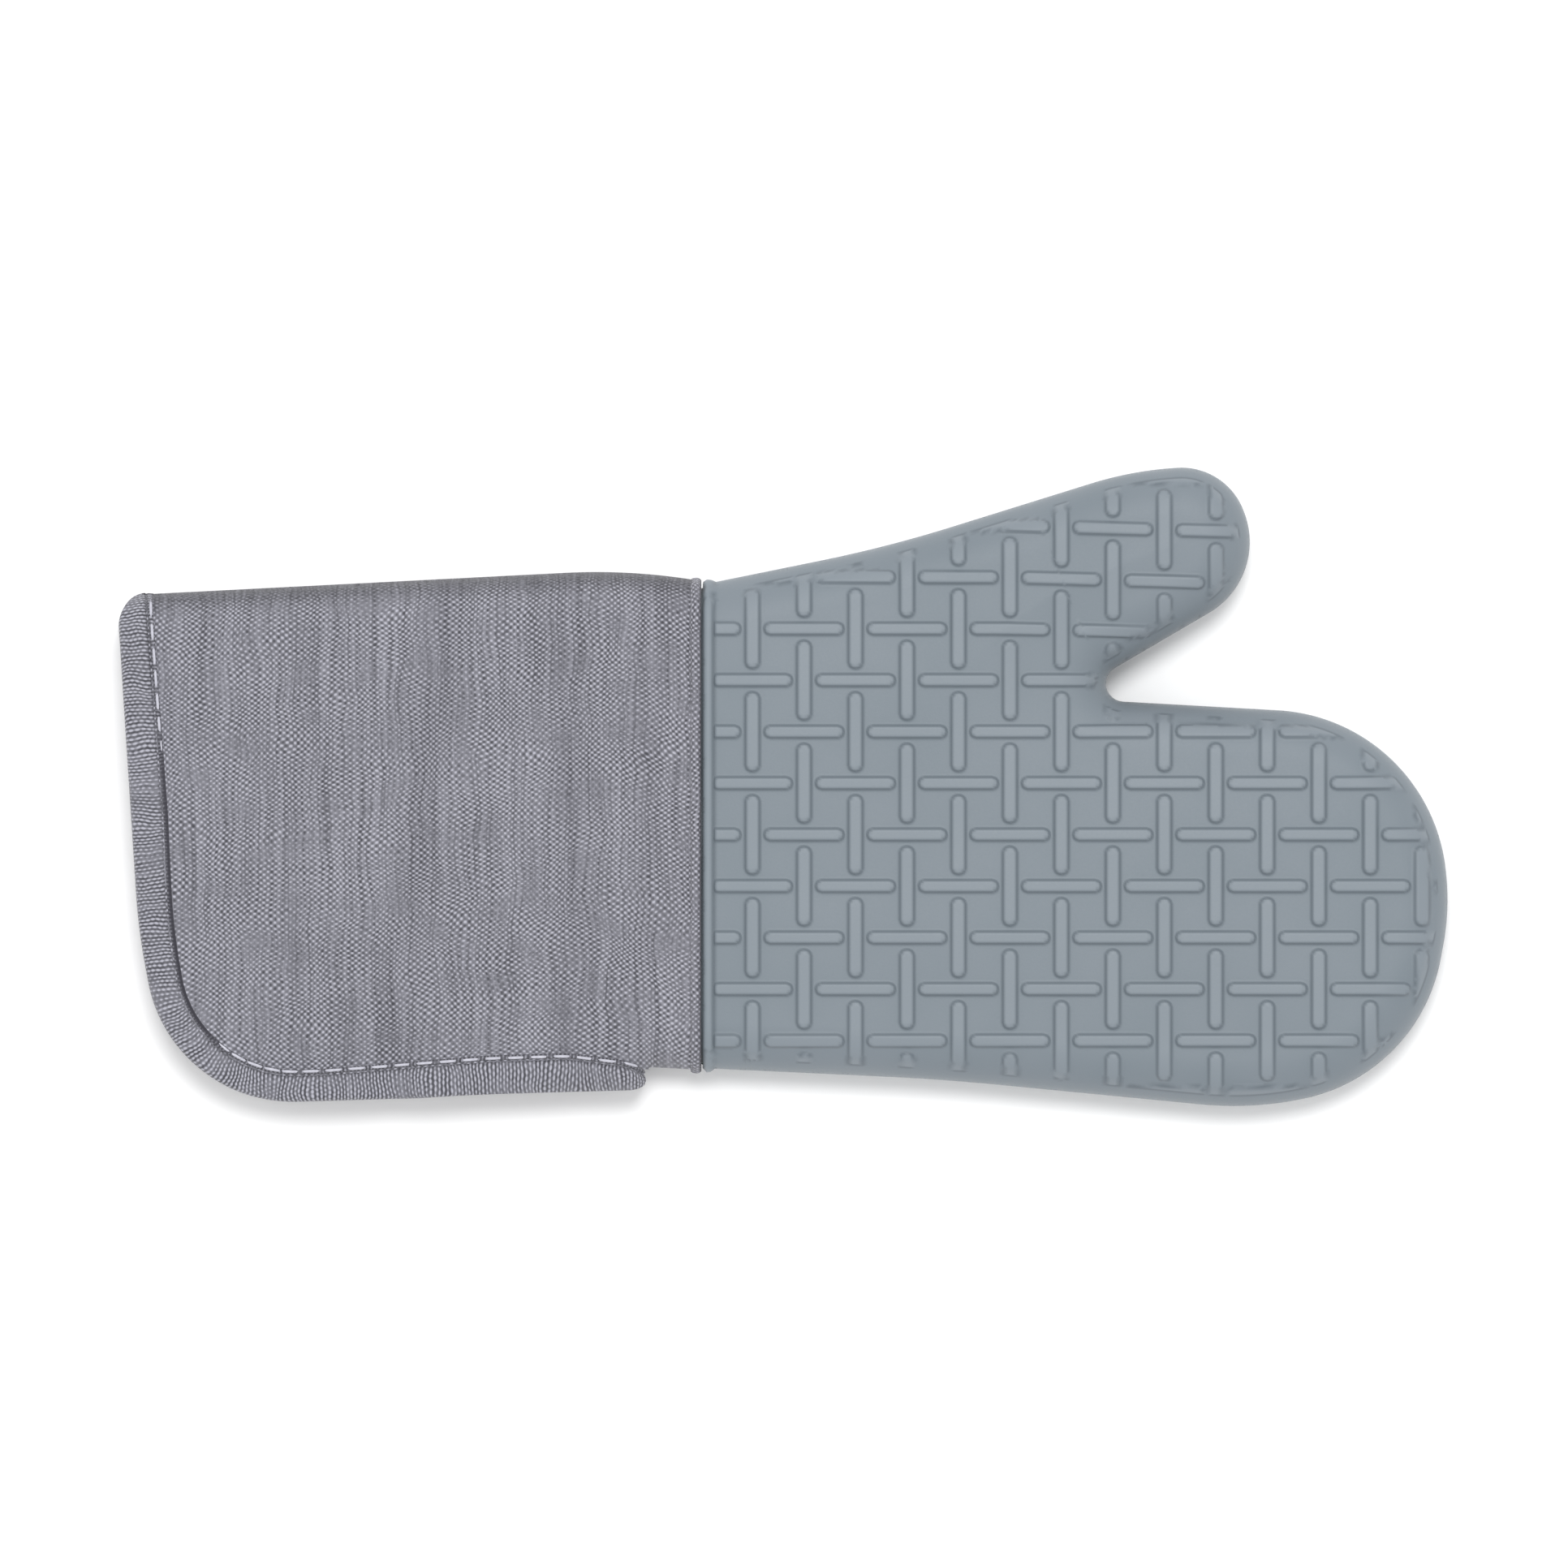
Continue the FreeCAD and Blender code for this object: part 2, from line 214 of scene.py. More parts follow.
def beyond(points, x_limit, side):
    """The stretch of an outline on one side of an X limit, ended exactly on it; side is +1 for larger X."""
    kept = (points[:, 0] - x_limit) * side > 0
    first = int(np.argmax(kept & ~np.roll(kept, 1)))
    points = np.roll(points, -first, axis=0)
    kept = np.roll(kept, -first)
    count = int(np.argmin(kept))

    def crossing(inside, outside):
        share = (x_limit - inside[0]) / (outside[0] - inside[0])
        return inside + share * (outside - inside)

    start = crossing(points[0], points[-1])
    end = crossing(points[count - 1], points[count])
    body = points[:count]
    body = body[np.abs(body[:, 0] - x_limit) > 0.3]
    return np.concatenate([start[None], body, end[None]])


def distance(points, line):
    """Distance of each point to an open line of points."""
    best = np.full(len(points), np.inf)
    for a, b in zip(line[:-1], line[1:]):
        d = b - a
        t = np.clip(((points - a) @ d) / max(d @ d, 1e-12), 0, 1)
        best = np.minimum(best, np.sum((points - a - t[:, None] * d) ** 2, axis=1))
    return np.sqrt(best)


def run_along(line):
    """The length along a line of points, from its start to each of them."""
    return np.concatenate([[0], np.cumsum(np.linalg.norm(np.diff(line, axis=0), axis=1))])


def plan_grid(xs, ys):
    return np.stack(np.meshgrid(xs, ys), axis=-1).reshape(-1, 2)


def well_inside(points, edge, margin):
    """The points inside an outline and more than a margin away from it."""
    points = points[inside(points, edge)]
    return points[distance(points, edge) > margin]


def face_sides(faces):
    """The three sides of each triangle as pairs of points, in the direction that the triangle runs."""
    return np.concatenate([faces[:, [0, 1]], faces[:, [1, 2]], faces[:, [2, 0]]])


def triangulate(boundary, extra, cuts=()):
    """Triangles inside a closed boundary, through the extra points and along the cut lines."""
    parts = [boundary, *cuts, extra]
    points = np.concatenate(parts)
    count = len(boundary)
    edges = []
    start = count
    for cut in cuts:
        edges += [(start + k, start + k + 1) for k in range(len(cut) - 1)]
        start += len(cut)
    result = delaunay_2d_cdt([tuple(p) for p in points.tolist()], edges, [list(range(count))], 1, 1e-6, True)
    plan = np.array([tuple(p) for p in result[0]])
    faces = np.array(result[2])
    return plan, faces[inside(plan[faces].mean(axis=1), boundary)]


def rim_profile(depth):
    """Share of the half depth that the surface has reached at a distance from the outline."""
    u = np.clip(depth / RIM_RUN, 0, 1)
    return (1 - (1 - u) ** RIM_POWER) ** (1 / RIM_POWER)


def rim_length(depth):
    """Length over the surface from the outline to a plan distance in from it."""
    line = RIM_RUN * np.linspace(0, 1, 400) ** 3
    steps = np.hypot(np.diff(line), HALF_DEPTH * np.diff(rim_profile(line)))
    return np.interp(depth, line, np.concatenate([[0], np.cumsum(steps)])) + np.clip(depth - RIM_RUN, 0, None)


def seam_dip(x):
    return SEAM_PINCH * bell(x, CUFF_END, SEAM_PINCH_RUN)


def hand_heights(plan, depth):
    """Heights of the upper and the lower skin of the hand above a plan point."""
    rise = rim_profile(depth)
    crown = CROWN * (smooth(depth / CROWN_RUN) - 1)
    dip = seam_dip(plan[:, 0])
    top = MIDDLE + rise * (HALF_DEPTH + crown - dip)
    bottom = MIDDLE - rise * (HALF_DEPTH - LOW_PINCH * dip)
    return top, bottom


def rib_tilt(x, y):
    """How far the rib lattice drops at a point, because its rows lean in the thumb."""
    return THUMB_TILT * np.clip(x - TILT_START, 0, None) * blur_step(y, *TILT_BAND)


def rib_field(plan, depth):
    """Height of the ribs at each plan point, as a share of the full height."""
    x = plan[:, 0] - RIB_FIRST[0]
    y = RIB_FIRST[1] - plan[:, 1] - rib_tilt(plan[:, 0], plan[:, 1])
    column = np.round(x / RIB_PITCH)
    row = np.round(y / RIB_PITCH)
    nearest = np.full(len(plan), np.inf)
    for i in (-1, 0, 1):
        for j in (-1, 0, 1):
            dx = np.abs(x - (column + i) * RIB_PITCH)
            dy = np.abs(y - (row + j) * RIB_PITCH)
            upright = (column + i + row + j) % 2 == 0
            run = np.where(upright, dy, dx)
            aside = np.where(upright, dx / UPRIGHT_WIDTH, dy)
            nearest = np.minimum(nearest, np.hypot(np.clip(run - RIB_HALF, 0, None), aside))
    ribs = 1 - blur_step(nearest, RIB_FLAT, RIB_REACH)
    ribs *= blur_step(depth, RIB_MARGIN, RIB_MARGIN + 0.7)
    ribs *= blur_step(plan[:, 0], BEAD_END, BEAD_END + 0.5)
    return ribs


def bead_field(plan):
    """Height of the moulded bead along the wrist edge, as a share of the full height."""
    half = (BEAD_END - HAND_START) / 2
    u = np.clip(np.abs(plan[:, 0] - HAND_START - half) / half, 0, 1)
    return np.sqrt(1 - u**2)


def add_object(name, data):
    made = bpy.data.objects.new(name, data)
    bpy.context.scene.collection.objects.link(made)
    return made


def make_mesh(name, points, faces, attributes=None):
    """A smooth-shaded mesh object from points in millimetres."""
    mesh = bpy.data.meshes.new(name)
    mesh.from_pydata((np.asarray(points) * MM).tolist(), [], [list(map(int, f)) for f in faces])
    mesh.shade_smooth()
    for key, values in (attributes or {}).items():
        values = np.asarray(values, dtype=np.float32)
        kind = "FLOAT" if values.ndim == 1 else "FLOAT_VECTOR"
        field = "value" if values.ndim == 1 else "vector"
        mesh.attributes.new(key, kind, "POINT").data.foreach_set(field, values.ravel())
    return add_object(name, mesh)


def vertex_normals(points, faces):
    """Area-weighted normals of a triangle mesh."""
    a, b, c = (points[faces[:, k]] for k in range(3))
    face_normals = np.cross(b - a, c - a)
    normals = np.zeros_like(points)
    for k in range(3):
        np.add.at(normals, faces[:, k], face_normals)
    return unit(normals)


def two_skins(plan, faces, top, bottom, shared):
    """Upper and lower skin over one plan, joined where shared: points, faces and each point's plan index."""
    count = len(plan)
    parted = np.flatnonzero(~shared)
    lower_index = np.arange(count)
    lower_index[parted] = count + np.arange(len(parted))
    upper = np.column_stack([plan, np.where(shared, MIDDLE, top)])
    lower = np.column_stack([plan[parted], bottom[parted]])
    a, b, c = (plan[faces[:, k]] for k in range(3))
    turn = (b - a)[:, 0] * (c - a)[:, 1] - (b - a)[:, 1] * (c - a)[:, 0]
    faces = np.where(turn[:, None] > 0, faces, faces[:, ::-1])
    both = np.concatenate([faces, lower_index[faces[:, ::-1]]])
    return np.concatenate([upper, lower]), both, np.concatenate([np.arange(count), parted])


def part_of(points, faces, keep, attributes):
    """The faces marked keep, with only the points that they use."""
    faces = faces[keep]
    used, new_faces = np.unique(faces, return_inverse=True)
    kept = {key: values[used] for key, values in attributes.items()}
    return points[used], new_faces.reshape(faces.shape), kept


def lattice_lines(low, high, first):
    """Grid lines over a range, close together where the ribs' sides are."""
    offsets = [0, 0.7, 1.1, 1.5, 1.85, 2.2, 2.6, 3.0, 3.4, 3.8, 4.8, 5.8]
    period = np.array(sorted({*offsets, *[-o for o in offsets], RIB_PITCH / 2}))
    repeats = np.arange(math.floor((low - first) / RIB_PITCH) - 1, math.ceil((high - first) / RIB_PITCH) + 2)
    lines = (first + RIB_PITCH * repeats[:, None] + period).ravel()
    return lines[(lines > low) & (lines < high)]


def hand_plan(edge, x_start, extra, step, clearance):
    """Triangles over the hand, parted at the thumb's root: plan points, faces and depth from the outline."""
    wrist_y = np.arange(edge[-1, 1] + step, edge[0, 1] - step / 2, step)
    wrist = np.stack([np.full(len(wrist_y), x_start), wrist_y], axis=1)
    root = cut_line(THUMB_ROOT, THUMB_FAR, edge)
    extra = extra[distance(extra, root) > clearance]
    plan, faces = triangulate(np.concatenate([edge, wrist]), extra, [root])
    depth = distance(plan, edge)
    depth[depth < TOUCHING] = 0
    return plan, faces, depth


def build_hand():
    """The silicone skin as one fine surface with its ribs and bead, parted only at the thumb's root."""
    ring_depths = [0.12, 0.45, 0.95, 1.6, 2.3, 2.75, 3.2, 4.0, 5.0]
    bead_shares = np.array([0.08, 0.25, 0.5, 0.75, 0.92, 1.0, 1.1, 1.22, 1.4])
    foot_width = 0.45
    edge = beyond(outline(HAND, 1.1), HAND_START, 1)
    grid_x = lattice_lines(HAND_START + 0.4, GRID_END[0], RIB_FIRST[0])
    grid_y = lattice_lines(-GRID_END[1], GRID_END[1], RIB_FIRST[1])
    bead_x = HAND_START + (BEAD_END - HAND_START) * bead_shares
    grid = plan_grid(np.concatenate([bead_x, grid_x[grid_x > BEAD_END + 1.4]]), grid_y)
    grid[:, 1] -= rib_tilt(grid[:, 0], grid[:, 1])
    grid = well_inside(grid, edge, ring_depths[-1] + 0.55)
    rings = [beyond(outline(HAND, 1.3, depth), HAND_START, 1)[1:-1] for depth in ring_depths]
    plan, faces, depth = hand_plan(edge, HAND_START, np.concatenate(rings + [grid]), 1.2, 0.35)
    top, bottom = hand_heights(plan, depth)
    points, faces, origin = two_skins(plan, faces, top, bottom, depth == 0)
    place = plan[origin]
    ribs = rib_field(place, depth[origin])
    bead = bead_field(place)
    fade = blur_step(depth[origin], RIB_MARGIN, 2.2 * RIB_MARGIN)
    height = RIB_HEIGHT * np.maximum(fade * ribs, BEAD_HEIGHT * bead)
    points = points + vertex_normals(points, faces) * height[:, None]
    points, faces, place, ribs = tuck_wrist(points, faces, place, np.maximum(ribs, 0.9 * bead))
    # Painted shade: darker along the ribs' sides and in lines at both feet of the wrist bead.
    feet = [bell(place[:, 0], foot, foot_width) for foot in (HAND_START, BEAD_END + 0.3)]
    flank = np.maximum(np.where(place[:, 0] > BEAD_END, 4 * ribs * (1 - ribs), 0), sum(feet))
    # The ridge attribute carries a painted highlight on the rib tops.
    attributes = {"flank": flank, "ridge": ribs, "place": np.column_stack([place, points[:, 2]])}
    sections = split_at_thumb(points, faces, place, attributes)
    hand, thumb = (make_mesh(f"silicone_{section}", *shape) for section, *shape in sections)
    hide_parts("palm_shell", "finger_shell")
    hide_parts("thumb_shell")
    return hand, thumb


def tuck_wrist(points, faces, place, ribs):
    """Turns the wrist edge in and back under the fabric roll, so that the seam has depth."""
    loop = open_loop(faces, place[:, 0] < HAND_START + TOUCHING)
    rows = [loop]
    centre = np.array([0, place[loop, 1].mean(), MIDDLE])
    for back, inward in ((0.0, 0.9), (-1.6, 1.5)):
        row = points[loop].copy()
        away = row[:, 1:] - centre[1:]
        row[:, 1:] -= inward * away / np.linalg.norm(away, axis=1)[:, None]
        row[:, 0] += back
        rows.append(len(points) + np.arange(len(loop)))
        points = np.concatenate([points, row])
        place = np.concatenate([place, place[loop]])
        ribs = np.concatenate([ribs, np.zeros(len(loop))])
    strips = []
    for upper, lower in zip(rows[:-1], rows[1:]):
        a, b, c, d = upper, np.roll(upper, -1), np.roll(lower, -1), lower
        strips += [np.stack([a, b, c], axis=1), np.stack([a, c, d], axis=1)]
    strip = np.concatenate(strips)
    # Two faces that look the same way run in opposite directions along the side they share.
    if (face_sides(faces) == strip[0, :2]).all(axis=1).any():
        strip = strip[:, ::-1]
    return points, np.concatenate([faces, strip]), place, ribs


def open_loop(faces, marked):
    """The loop of open edges through marked points only, in order."""
    unique, counts = np.unique(np.sort(face_sides(faces), axis=1), axis=0, return_counts=True)
    rim = unique[counts == 1]
    return ordered_loop(rim[marked[rim].all(axis=1)])


def ordered_loop(edges):
    """The points of one closed loop of edges, in order."""
    links = {}
    for a, b in edges.tolist():
        links.setdefault(a, []).append(b)
        links.setdefault(b, []).append(a)
    start = min(links)
    loop = [start]
    before, here = None, start
    while True:
        onward = next((p for p in links[here] if p != before), None)
        if onward is None or onward == start:
            return np.array(loop)
        loop.append(onward)
        before, here = here, onward


def inside(points, polygon):
    """True for each point within a closed polygon."""
    result = np.zeros(len(points), bool)
    for (ax, ay), (bx, by) in zip(polygon, np.roll(polygon, -1, axis=0)):
        crosses = (ay > points[:, 1]) != (by > points[:, 1])
        if ay == by:
            continue
        result ^= crosses & (points[:, 0] < (bx - ax) * (points[:, 1] - ay) / (by - ay) + ax)
    return result


def cut_line(start, end, edge):
    """Points about a millimetre apart on the stretch of a line that is inside the outline."""
    count = int(np.linalg.norm(end - start) / 0.02)
    line = start + np.linspace(0, 1, count)[:, None] * (end - start)
    line = line[inside(line, edge)]
    low, high = line[0], line[-1]
    ends = [edge[np.argmin(np.linalg.norm(edge - p, axis=1))] for p in (low, high)]
    count = int(np.linalg.norm(high - low))
    middle = low + (np.arange(1, count) / count)[:, None] * (high - low)
    return np.concatenate([ends[0][None], middle, ends[1][None]])


def cuff_edges():
    """The cuff's plan outline, its fold, the same fold run on past the mouth, and its little-finger side."""
    past_mouth = 12
    side_start = -130
    edge = beyond(outline(CUFF, 1.2), CUFF_END, -1)
    fold_start = MOUTH_CORNER[0] + MOUTH_CORNER[2]
    fold = edge[(edge[:, 1] > 0) & (edge[:, 0] > fold_start)]
    fold = fold[np.argsort(fold[:, 0])]
    onward = fold[0] - fold[5]
    run_on = fold[0] + past_mouth * onward / np.linalg.norm(onward)
    side = edge[(edge[:, 1] < 0) & (edge[:, 0] > side_start)]
    side = side[np.argsort(side[:, 0])]
    return edge, fold, np.concatenate([run_on[None], fold]), side


def fold_lines(x, y, spread, run):
    """For each soft fold: its depth, the widths from its middle, and the nearness to its deepest Y."""
    for centre, width, size, slant, strongest in FOLDS:
        yield size, (x - centre - slant * y) / (spread * width), bell(y, strongest, run)


def wrinkle_shade(x, y):
    """How much shade is painted into the cloth's soft folds, from 0 to 1."""
    shade = np.zeros_like(x)
    for size, u, near in fold_lines(x, y, 0.8, 35):
        shade += 0.13 * size * bell(u, 0, 1) * (0.4 + 0.6 * near)
    return shade


def wrinkles(x, y):
    """Soft folds across the cuff, and the slight unevenness of padded cloth."""
    height = np.zeros_like(x)
    for size, u, near in fold_lines(x, y, 1.0, 45):
        height -= size * bell(u, 0, 1) * (0.55 + 0.45 * near)
        height += 0.6 * size * bell(u, 1.7, 1)
    height += 0.25 * np.sin(x / 17 + 0.8 * np.sin(y / 23)) * np.sin(y / 19 + 1.3)
    height += 0.10 * np.sin(x / 5.1 + 1.7 * np.sin(y / 13)) * np.sin(y / 7.3 + 0.5 * np.sin(x / 11))
    return height


def cuff_heights(plan, long_fold, side):
    """Heights of the upper and the lower leaf of the cuff above a plan point."""
    x, y = plan.T
    to_fold = distance(plan, long_fold)
    to_side = distance(plan, side)
    closing = blur_step(x, *CLOSING)
    gap = VENT_GAP * (1 - blur_step(x, *VENT_END)) / HALF_DEPTH
    rise = rim_profile(to_side)
    rolled = np.hypot(rise, gap * (1 - rise))
    crown = CROWN * (smooth(np.minimum(to_fold, to_side) / CROWN_RUN) - 1)
    side_sag = 4.5 * (1 - smooth(to_side / 55))
    mouth_sag = 2.0 * (1 - smooth((x + 178) / 70))
    open_top = HALF_DEPTH + crown - (side_sag + mouth_sag)
    closed_top = (HALF_DEPTH + crown) * rolled
    top_rise = open_top + closing * (closed_top - open_top) - seam_dip(x)
    low_rise = HALF_DEPTH * (1 + closing * (rolled - 1)) - LOW_PINCH * seam_dip(x)
    calm = blur_step(to_fold, 0, 12) * blur_step(CUFF_END - x, 2, 12)
    fold_rise = rim_profile(to_fold)
    top = MIDDLE + fold_rise * top_rise + wrinkles(x, y) * calm * (1 - 0.6 * closing * (1 - rolled))
    bottom = MIDDLE - fold_rise * low_rise
    return top, bottom


def build_cuff_surface(step):
    """The cuff's outer surface: points, faces, plan position, depth from the bound edge, and attributes."""
    edge, fold, long_fold, side = cuff_edges()
    ring_depths = [0.15, 0.5, 1.1, 1.9, 2.9, 4.2]
    grid = plan_grid(np.arange(-179, CUFF_END - 0.4, step), np.arange(-85, 60, step))
    grid = well_inside(grid, edge, ring_depths[-1] + 0.8)
    rings = []
    for depth in ring_depths:
        ring = beyond(outline(CUFF, 1.6, depth), CUFF_END, -1)[1:-1]
        rings.append(well_inside(ring, edge, 0.9 * depth))
    seam_y = np.linspace(edge[-1, 1], edge[0, 1], int(abs(edge[-1, 1] - edge[0, 1]) / 1.5))[1:-1]
    seam = np.stack([np.full(len(seam_y), CUFF_END), seam_y], axis=1)
    plan, faces = triangulate(np.concatenate([edge, seam]), np.concatenate(rings + [grid]))
    top, bottom = cuff_heights(plan, long_fold, side)
    tube_side = side[side[:, 0] > CUFF[1][0] + 1.0]
    shared = (distance(plan, fold) < TOUCHING) | (distance(plan, tube_side) < TOUCHING)
    points, faces, origin = two_skins(plan, faces, top, bottom, shared)
    to_fold = distance(plan, long_fold)[origin]
    is_lower = np.arange(len(points)) >= len(plan)
    girth = np.where(is_lower, 1, -1) * rim_length(to_fold)
    weave = np.column_stack([plan[origin][:, 0], girth, np.zeros(len(points))])
    # Painted shade by the fold: 1 at the fold, fading to 0 over TURN_RUN.
    turned = 1 - smooth(to_fold / TURN_RUN)
    # Painted shade in the soft folds of the upper leaf.
    crease = np.where(is_lower, 0, wrinkle_shade(*plan[origin].T))
    on_tab = (edge[:, 1] < CUFF[1][1] - 1.5) & (edge[:, 0] < CUFF[1][0] + 0.6)
    on_mouth = edge[:, 0] < MOUTH_CORNER[0] + MOUTH_CORNER[2] - 0.3
    on_side = (edge[:, 1] < 0) & (edge[:, 0] < CLOSING[0])
    bound = edge[on_mouth | on_tab | on_side]
    depth = distance(plan, bound)[origin]
    return points, faces, plan[origin], depth, {"weave": weave, "turned": turned, "crease": crease}


def shell_faces(faces, count):
    """Faces of a closed shell: the given ones, the same turned over on copied points, and the rim between."""
    sides = face_sides(faces)
    keys = sides[:, 0] * count + sides[:, 1]
    back_keys = sides[:, 1] * count + sides[:, 0]
    a, b = sides[~np.isin(back_keys, keys)].T
    rim_faces = [np.stack([b, a, a + count], axis=1), np.stack([b, a + count, b + count], axis=1)]
    return np.concatenate([faces, faces[:, ::-1] + count, *rim_faces])


def make_pad(name, points, faces, normals, front, back):
    """A closed layer of wadding between two depths under a surface."""
    both = np.concatenate([points - normals * front, points - normals * back])
    return make_mesh(name, both, shell_faces(faces, len(points)))


def build_cuff():
    """The cuff's outer cloth, and under it the wadding and the lining."""
    points, faces, place, depth, attributes = build_cuff_surface(CLOTH_STEP)
    normals = vertex_normals(points, faces)
    # How far in from the bound edge each layer ends, and how far the wadding keeps from the tab.
    cloth_end, lining_end, wadding_end = 1.0, 1.8, 2.8
    tab_clearance = 5.0
    clear_of_tab = np.linalg.norm(place - np.array(CUFF[1][:2]), axis=1) > tab_clearance

    def kept(marked, values):
        return part_of(points, faces, marked[faces].all(axis=1), values)

    cloth = make_mesh("cuff_cloth_outer", *kept(depth > cloth_end, attributes))
    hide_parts("cuff_cloth")
    inner, inner_faces, values = kept(depth > lining_end, {"normals": normals, "weave": attributes["weave"]})
    inner = inner - values.pop("normals") * LEAF_DEPTH
    lining = make_mesh("cuff_lining_cloth", inner, inner_faces[:, ::-1], values)
    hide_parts("cuff_lining")
    inner, inner_faces, values = kept((depth > wadding_end) & clear_of_tab, {"normals": normals})
    wadding = make_pad("cuff_wadding_pad", inner, inner_faces, values["normals"], 0.8, LEAF_DEPTH - 0.5)
    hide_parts("cuff_batting")
    return cloth, lining, wadding, (points, faces, place)


def tape_path():
    """Rows across the binding: plan points on the bound edge, inward directions, and the length run."""
    points = outline(BOUND, 0.8)
    last = int(np.argmin(np.linalg.norm(points - np.array(MOUTH_CORNER[:2]), axis=1)))
    points = points[:last + 1]
    run = run_along(points)
    even = np.linspace(0, run[-1] - RIM_RUN, int(run[-1] / 0.8))
    turn = np.linspace(0, math.pi / 2, 16)[1:]
    even = np.concatenate([even, run[-1] - RIM_RUN * (1 - np.sin(turn))])
    points = np.stack([np.interp(even, run, points[:, k]) for k in range(2)], axis=1)
    along = unit(np.gradient(points, axis=0))
    inward = np.stack([along[:, 1], -along[:, 0]], axis=1)
    return points, inward, even


def rounding(distance_left, radius):
    """How far a round corner cuts in, at a distance from its end."""
    over = np.clip(radius - distance_left, 0, radius)
    return radius - np.sqrt(radius**2 - over**2)


def tape_grid(shares):
    """The cuff's surface under the binding: rows of points, how far in each is, the widths and the run."""
    _, _, long_fold, side = cuff_edges()
    path, inward, run = tape_path()
    width = np.interp(run, *zip(*TAPE_WIDTHS))
    for _ in range(8):
        width[1:-1] = (width[:-2] + width[1:-1] + width[2:]) / 3
    lost = rounding(run, TAB_RADIUS) + rounding(run[-1] - run, MOUTH_CORNER[2])
    lost = np.minimum(lost, width - 0.8)
    start = lost + 0.9 * (1 - lost / width)
    across = start[:, None] + (width - start)[:, None] * shares
    plan = path[:, None] + across[..., None] * inward[:, None]
    top, bottom = (h.reshape(across.shape) for h in cuff_heights(plan.reshape(-1, 2), long_fold, side))
    upper = np.dstack([plan, top])
    lower = np.dstack([plan, bottom])
    rows = np.concatenate([upper, lower[-2::-1]])
    mirrored = np.concatenate([across, across[-2::-1]])
    widths = np.concatenate([width, width[-2::-1]])
    run = np.concatenate([run, 2 * run[-1] - run[-2::-1]])
    return rows, mirrored, widths, run


def grid_normals(rows):
    """Outward directions of the tape's grid, and its inward directions along the surface."""
    down = np.gradient(rows, axis=0)
    inward = np.gradient(rows, axis=1)
    normals = unit(np.cross(inward, down))
    if normals[:len(rows) // 2, :, 2].mean() < 0:
        normals = -normals
    return normals, unit(inward)


def tape_relief(from_edge, width, ridge):
    """Height of the tape over the cloth: padded, held down by its seam, with a ridge at its folded edge."""
    left = width - from_edge
    across = np.clip((from_edge - 0.5) / np.maximum(width - 2.4, 1), 0, 1)
    body = TAPE_LIFT + 0.4 * np.sin(math.pi * across) ** 0.8
    body = body - 0.75 * bell(left, TAPE_SEAM, 0.38)
    crest = (0.30 + 0.40 * ridge) * bell(left, TAPE_RIDGE, 0.5)
    return body * blur_step(left, 0.9, 1.9) + crest - 0.25 * (1 - blur_step(left, 0.1, 0.7))


def seam_ridge(run, total):
    """How proud the tape's folded edge stands: most by the fold, least along the lower part of the mouth."""
    s = np.minimum(run, total - run)
    return np.interp(s, [0, 112, 130, 205, 230, 260], [0.6, 0.7, 0.0, 0.1, 0.9, 1.0])


def build_binding(grid, normals, inward, across, widths, run):
    """Tape folded over the raw edge: an outer leg, a round nose and an inner leg."""
    tab_taper = 1.8
    ridge = seam_ridge(run, run[-1])[:, None]
    height = tape_relief(across, widths[:, None], ridge)
    at_fold = bell(run, run[-1] / 2, 4.0)[:, None]
    height = height * (1 - 0.85 * at_fold)
    to_tab = np.clip(np.minimum(run, run[-1] - run) / tab_taper, 0.02, 1)
    body = np.sqrt(1 - (1 - to_tab) ** 2)[:, None]
    middle = grid - normals * (LEAF_DEPTH / 2)
    outer = grid + normals * height[..., None]
    inner_depth = LEAF_DEPTH + TAPE_LIFT
    half = (inner_depth + TAPE_LIFT) / 2
    nose_angles = np.linspace(math.pi / 2, -math.pi / 2, 9)[1:-1]
    edge, edge_out, edge_in = grid[:, :1], normals[:, :1], inward[:, :1]
    reach = 0.9 * (across[:, 0] > 0)[:, None, None]
    nose = edge + edge_out * (TAPE_LIFT - half + half * np.sin(nose_angles))[None, :, None]
    nose = nose - edge_in * reach * np.cos(nose_angles)[None, :, None]
    inner = grid - normals * (inner_depth + 0.3 * height[..., None])
    rings = np.concatenate([outer[:, ::-1], nose, inner], axis=1)
    nose_middle = np.repeat(middle[:, :1], nose.shape[1], axis=1)
    centre = np.concatenate([middle[:, ::-1], nose_middle, middle], axis=1)
    rings = centre + body[..., None] * (rings - centre)
    section = run_along(rings[FULL_ROW])
    length = run_along(grid[:, grid.shape[1] // 2])
    weave = np.dstack(np.broadcast_arrays(length[:, None], section, 0.0))
    left = widths[:, None] - across
    # Painted shade in the tape's seam groove, along its edge over the cloth, and in a dark line where its ridge
    # is low.
    crease = ridge * bell(left, TAPE_SEAM, 0.5) + 0.8 * bell(left, 0.15, 0.45)
    crease = crease + 1.2 * (1 - ridge) * bell(left, 1.0, 0.75)
    crease = np.concatenate([crease[:, ::-1], np.zeros(nose.shape[:2]), crease], axis=1)
    binding = sweep("edge_binding_tape", rings, {"weave": weave.reshape(-1, 3), "crease": crease.ravel()})
    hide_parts("edge_binding")
    return binding


def tube_faces(index, closed=False):
    """Faces round a tube whose points are numbered ring by ring, with caps unless it is a closed loop."""
    onward = np.roll(index, -1, axis=0) if closed else index[1:]
    here = index if closed else index[:-1]
    quads = np.stack([here, np.roll(here, -1, axis=1), np.roll(onward, -1, axis=1), onward], axis=-1)
    caps = [] if closed else [index[0, ::-1].tolist(), index[-1].tolist()]
    return quads.reshape(-1, 4).tolist() + caps


